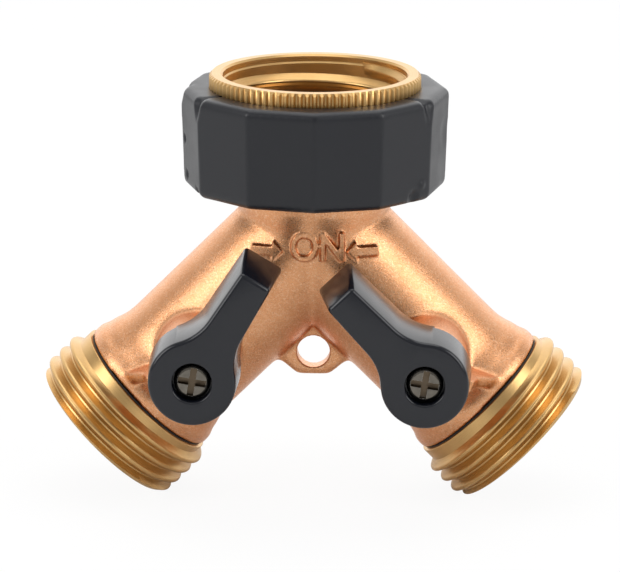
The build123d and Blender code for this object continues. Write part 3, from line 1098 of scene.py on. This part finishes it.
studio = {"floorSize": 6.0, "floorSeen": 1.0, "floorGrey": 0.75, "floorWhite": 0.95, "floorRough": 0.9,
          "shadowShare": 0.08, "cameraAim": (-0.61, 0.0, -23.71), "cameraDistance": 701.5,
          "cameraAzimuth": 1.73, "cameraElevation": 14.35, "cameraRoll": 0.3, "lens": 267.06,
          "worldLevels": [(0.03, 0.26), (0.3, 0.24), (0.6, 0.3), (0.95, 1.0)], "worldStrength": 1.6,
          "lightAim": (0, 0, -0.02),
          # each softbox's place, size and power
          "lights": {"leftSoftbox": ((-0.9, -0.5, 0.5), (0.6, 0.7), 4.6),
                     "rightSoftbox": ((0.9, -0.4, 0.5), (0.6, 0.7), 4.6),
                     "topSoftbox": ((0.0, 0.1, 1.0), (0.9, 0.9), 4)}}


def mixShaders(tree, factor, first, second):
    # the second shader shows where the factor is one
    mix = addNode(tree, "ShaderNodeMixShader")
    if isinstance(factor, float):
        mix.inputs["Fac"].default_value = factor
    else:
        wire(tree, factor, mix.inputs["Fac"])
    wire(tree, first, mix.inputs[1])
    wire(tree, second, mix.inputs[2])
    return mix.outputs[0]


def makeStage():
    # a pale floor that shows nearly white with a faint shadow, and throws less light back up
    low = min(corner[2] for corner in cadBox)
    clearSelection()
    bpy.ops.mesh.primitive_plane_add(size=studio["floorSize"], location=(0, 0, low))
    floor = nameIt("floor")
    placed(floor, Matrix.Identity(4))
    material, tree, shader = newMaterial("paleFloor")
    shader.inputs["Roughness"].default_value = studio["floorRough"]
    shader.inputs["Base Color"].default_value = (*[studio["floorGrey"]] * 3, 1)
    white = addNode(tree, "ShaderNodeBsdfDiffuse")
    white.inputs["Color"].default_value = (*[studio["floorWhite"]] * 3, 1)
    glow = addNode(tree, "ShaderNodeEmission")
    glow.inputs["Color"].default_value = (*[studio["floorSeen"]] * 3, 1)
    seen = mixShaders(tree, 1 - studio["shadowShare"], white.outputs[0], glow.outputs[0])
    cameraRay = addNode(tree, "ShaderNodeLightPath").outputs["Is Camera Ray"]
    both = mixShaders(tree, cameraRay, shader.outputs[0], seen)
    # seen from below the floor is clear, so the underside of the piece can be looked at
    underside = addNode(tree, "ShaderNodeNewGeometry").outputs["Backfacing"]
    clear = addNode(tree, "ShaderNodeBsdfTransparent")
    surface = mixShaders(tree, underside, both, clear.outputs[0])
    wire(tree, surface, tree.nodes["Material Output"].inputs["Surface"])
    floor.data.materials.append(material)


def softLight(name, place, size, power):
    data = bpy.data.lights.new(name, "AREA")
    data.shape = "RECTANGLE"
    data.size, data.size_y = size
    data.energy = power
    light = bpy.data.objects.new(name, data)
    bpy.context.scene.collection.objects.link(light)
    light.location = place
    light.rotation_euler = (Vector(studio["lightAim"]) - Vector(place)).to_track_quat("-Z", "Y").to_euler()


def makeWorld():
    # greyer in front and at the sides and white behind, so that the metal has something to show
    world = bpy.data.worlds.new("studioWorld")
    bpy.context.scene.world = world
    world.use_nodes = True
    tree = world.node_tree
    background = tree.nodes["Background"]
    direction = addNode(tree, "ShaderNodeTexCoord")
    split = addNode(tree, "ShaderNodeSeparateXYZ")
    wire(tree, direction.outputs["Generated"], split.inputs[0])
    along = addNode(tree, "ShaderNodeMapRange")
    along.inputs["From Min"].default_value = -1
    wire(tree, split.outputs["Y"], along.inputs["Value"])
    levels = rampNode(tree, studio["worldLevels"])
    wire(tree, along.outputs[0], levels.inputs[0])
    wire(tree, levels.outputs["Color"], background.inputs["Color"])
    background.inputs["Strength"].default_value = studio["worldStrength"]
    backdrop = addNode(tree, "ShaderNodeBackground")
    backdrop.inputs["Color"].default_value = (*[studio["floorSeen"]] * 3, 1)
    cameraRay = addNode(tree, "ShaderNodeLightPath").outputs["Is Camera Ray"]
    surface = mixShaders(tree, cameraRay, background.outputs[0], backdrop.outputs[0])
    wire(tree, surface, tree.nodes["World Output"].inputs["Surface"])


def makeCamera():
    s = studio
    azimuth, elevation = radians(s["cameraAzimuth"]), radians(s["cameraElevation"])
    away = Vector((sin(azimuth) * cos(elevation), -cos(azimuth) * cos(elevation), sin(elevation)))
    aim = Vector(s["cameraAim"]) * mm
    data = bpy.data.cameras.new("camera")
    data.lens = s["lens"]
    data.sensor_width = 36
    data.sensor_fit = "HORIZONTAL"
    data.clip_start = 0.01
    camera = bpy.data.objects.new("camera", data)
    bpy.context.scene.collection.objects.link(camera)
    camera.location = aim + away * s["cameraDistance"] * mm
    turn = (-away).to_track_quat("-Z", "Y") @ Euler((0, 0, radians(s["cameraRoll"]))).to_quaternion()
    camera.rotation_euler = turn.to_euler()
    bpy.context.scene.camera = camera


makeStage()
makeWorld()
for name, (place, size, power) in studio["lights"].items():
    softLight(name, place, size, power)
makeCamera()
bpy.context.scene.view_settings.view_transform = "Standard"
print("stage set")

clearSelection()
